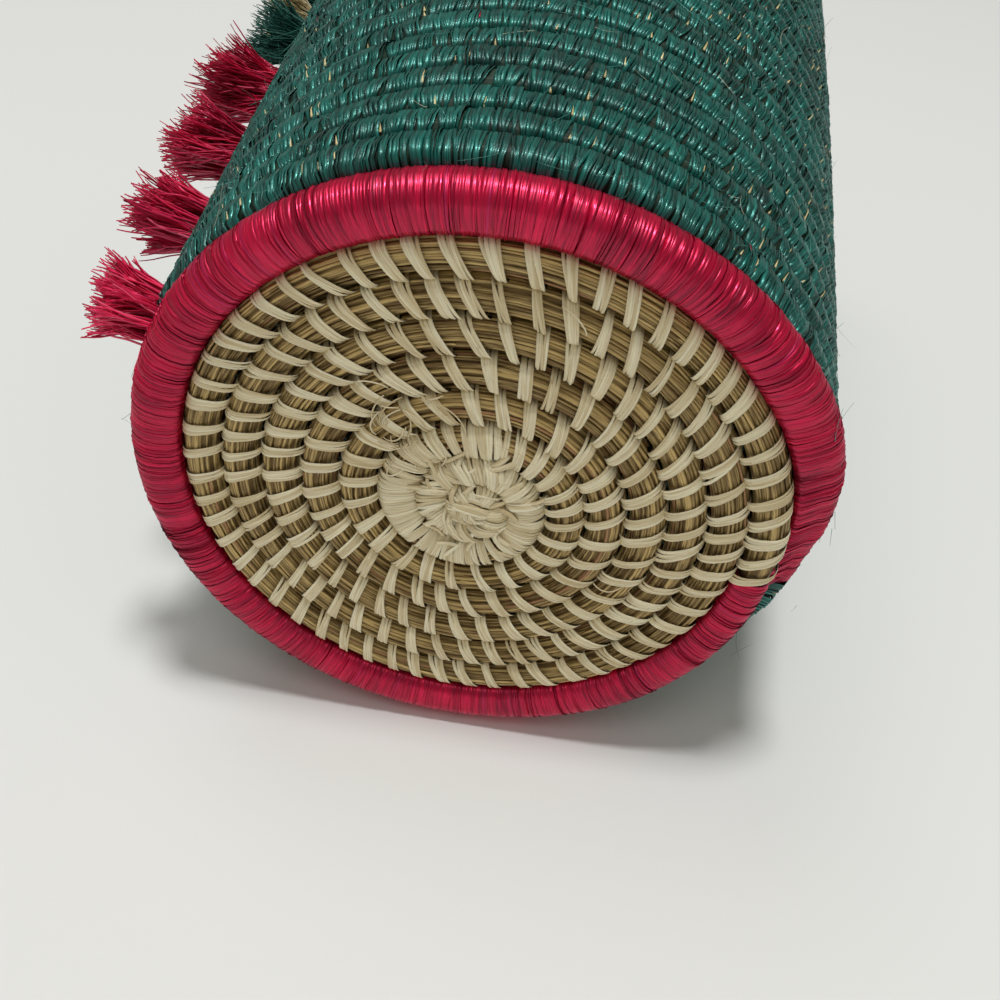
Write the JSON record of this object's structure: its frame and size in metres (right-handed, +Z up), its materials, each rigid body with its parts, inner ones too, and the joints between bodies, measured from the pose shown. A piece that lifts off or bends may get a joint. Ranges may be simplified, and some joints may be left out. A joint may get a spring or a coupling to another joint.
{
  "type": "coiled basket vase",
  "caption": "Tall round coiled basket vase with a spiral grass base, a raspberry wrapped foot, a teal wrapped wall and a column of cut sisal tufts.",
  "frame": {"origin": "on the vase's axis, in the plane that it stands on, under the start knot in the middle of the base", "axes": "+Z up along the axis to the mouth, -Y toward the side of the wall that the picture shows, tufts toward -X"},
  "size_m": [0.1393, 0.1285, 0.1968],
  "materials": {
    "raffia": "dry, slightly waxy raffia strands",
    "grass": "dry grass stalks with a faint natural shine",
    "raspberry_sisal": "tightly wound dyed sisal with a soft sheen",
    "teal_sisal": "tightly wound dyed sisal with a soft sheen",
    "red_sisal": "cut dyed sisal strands",
    "green_sisal": "cut dyed sisal strands",
    "natural_sisal": "cut undyed sisal strands"
  },
  "bodies": {
    "root": {"start_knot": "raffia", "base_coil": "grass", "foot_core": "grass", "foot_wrap": "raspberry_sisal", "wall_coil_1": "teal_sisal", "wall_coil_2": "teal_sisal", "wall_coil_3": "teal_sisal", "wall_coil_4": "teal_sisal", "wall_coil_5": "teal_sisal", "wall_coil_6": "teal_sisal", "wall_coil_7": "teal_sisal", "rim_coil": "teal_sisal", "red_tuft_1": "red_sisal", "red_tuft_2": "red_sisal", "red_tuft_3": "red_sisal", "red_tuft_4": "red_sisal", "green_tuft_1": "green_sisal", "green_tuft_2": "green_sisal", "natural_tuft": "natural_sisal"}
  },
  "joints": []
}
